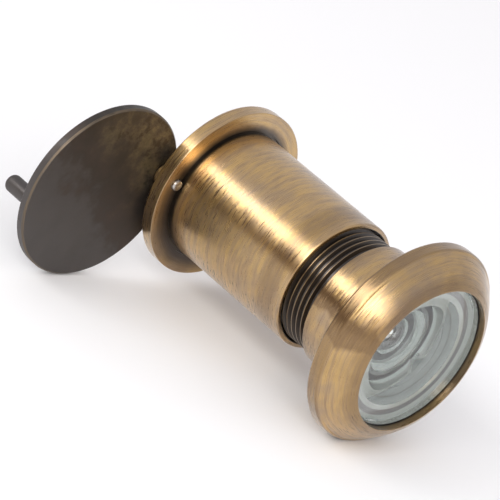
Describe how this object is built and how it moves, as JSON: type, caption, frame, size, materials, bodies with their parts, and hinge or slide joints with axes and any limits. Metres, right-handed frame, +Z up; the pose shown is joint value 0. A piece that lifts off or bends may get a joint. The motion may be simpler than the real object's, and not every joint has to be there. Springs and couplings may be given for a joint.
{
  "type": "door viewer",
  "caption": "Wide-angle brass door viewer: lensed outer flange on a threaded tube, screwed into a flanged barrel with an eyepiece and a round cover that swings on a rivet.",
  "frame": {"origin": "on the optical axis, in the plane of the inner flange's door-bearing face", "axes": "+Y along the optical axis from the street to the room, +Z up, X along the door; the cover stands open towards -X"},
  "size_m": [0.0646, 0.0673, 0.0396],
  "materials": {
    "antique_brass": "brushed round the axis, darkened in the corners",
    "black_rubber": "matt",
    "glass": "polished",
    "black_ring": "blackened brass",
    "rivet_metal": "plain, peened",
    "cover_bronze": "dark oxidised, satin",
    "spacer_plastic": "matt black"
  },
  "bodies": {
    "inner_half": {"inner_barrel": "antique_brass", "eyepiece_gasket": "black_rubber", "eyepiece_lens": "glass", "eyepiece_ring": "black_ring", "pivot_rivet": "rivet_metal", "pivot_bush": "antique_brass", "spring_washer": "rivet_metal"},
    "cover": {"cover_disc": "cover_bronze", "cover_knob": "cover_bronze"},
    "lens_stack": {"objective_lens": "glass", "objective_gasket": "black_rubber", "lens_two": "glass", "mid_spacer": "spacer_plastic", "lens_three": "glass", "aperture_stop": "spacer_plastic"},
    "outer_half": {"outer_flange": "antique_brass", "threaded_tube": "antique_brass", "lens_retaining_ring": "black_ring"}
  },
  "joints": [
    {"name": "cover_swing", "type": "hinge", "parent": "inner_half", "child": "cover", "pos_m": [-0.01409, 0.0047, 0.00173], "axis": [0, 1, 0], "range_deg": [-155.6, 24.4]},
    {"name": "outer_advance", "type": "slide", "parent": "inner_half", "child": "lens_stack", "axis": [0, 1, 0], "range_m": [-0.01001, 0.00551]},
    {"name": "outer_screw", "type": "hinge", "parent": "lens_stack", "child": "outer_half", "pos_m": [0, -0.0465, 0], "axis": [0, 1, 0], "range_deg": [-3000, 1650]}
  ],
  "couplings": [
    {"joint": "outer_advance", "follows": "outer_screw", "m_per_rad": 0.00019099}
  ]
}
